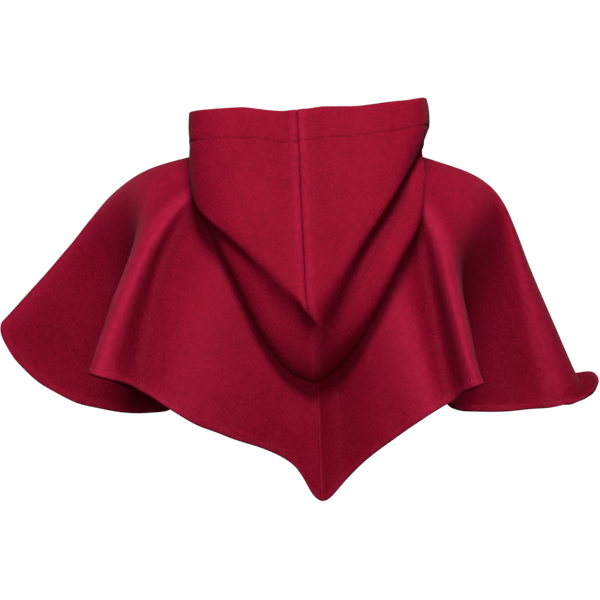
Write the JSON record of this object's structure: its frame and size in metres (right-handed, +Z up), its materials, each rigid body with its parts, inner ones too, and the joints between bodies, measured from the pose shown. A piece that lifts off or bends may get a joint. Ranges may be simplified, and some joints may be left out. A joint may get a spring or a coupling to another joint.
{
  "type": "wool hood with shoulder mantle",
  "caption": "Felted wool hood folded down behind the neck, sewn to a flared shoulder mantle with deep folds and a pointed back.",
  "frame": {"origin": "on the neck's axis, level with the base of the neck, where the garment sits on its wearer", "axes": "+Z up the neck, +Y the way the wearer faces, +X towards the wearer's right"},
  "size_m": [0.7294, 0.4297, 0.4601],
  "materials": {
    "mantle_wool": "fulled wool, matt with a soft nap",
    "hood_wool": "fulled wool, matt with a soft nap",
    "hem_wool": "fulled wool, matt, turned inside"
  },
  "bodies": {
    "root": {"mantle_left": "mantle_wool", "mantle_right": "mantle_wool", "hood_left": "hood_wool", "hood_right": "hood_wool", "face_hem_left": "hem_wool", "face_hem_right": "hem_wool"}
  },
  "joints": []
}
